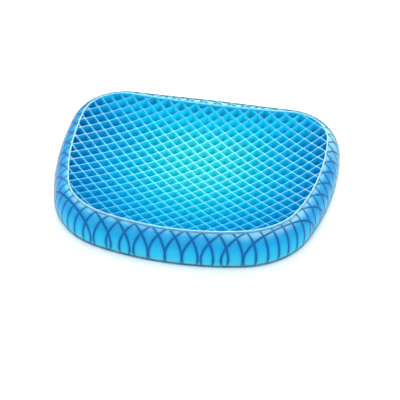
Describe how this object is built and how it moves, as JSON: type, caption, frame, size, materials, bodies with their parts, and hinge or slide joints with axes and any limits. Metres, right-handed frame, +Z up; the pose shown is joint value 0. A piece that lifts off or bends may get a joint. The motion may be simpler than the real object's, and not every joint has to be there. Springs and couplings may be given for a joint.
{
  "type": "seat cushion",
  "caption": "Soft moulded gel seat pad: an open diamond lattice with a dished top, inside a smooth rounded rim that stands on a flat foot.",
  "frame": {"origin": "on the floor plane, at the middle of the outline's width and depth", "axes": "+X to the sitter's right hand, +Y to the rear of the seat, +Z up"},
  "size_m": [0.4244, 0.365, 0.0548],
  "materials": {
    "rim_gel": "glossy translucent moulded gel, pale blue at the top of the rim",
    "lattice_gel": "glossy translucent moulded gel, deep blue at the sides and cyan in the middle",
    "web_gel": "satin translucent moulded gel membrane"
  },
  "bodies": {
    "root": {"rim_skin": "rim_gel", "ring_wall": "rim_gel", "rim_walls": "lattice_gel", "upper_lattice": "lattice_gel", "lower_lattice": "lattice_gel", "centre_web": "web_gel"}
  },
  "joints": []
}
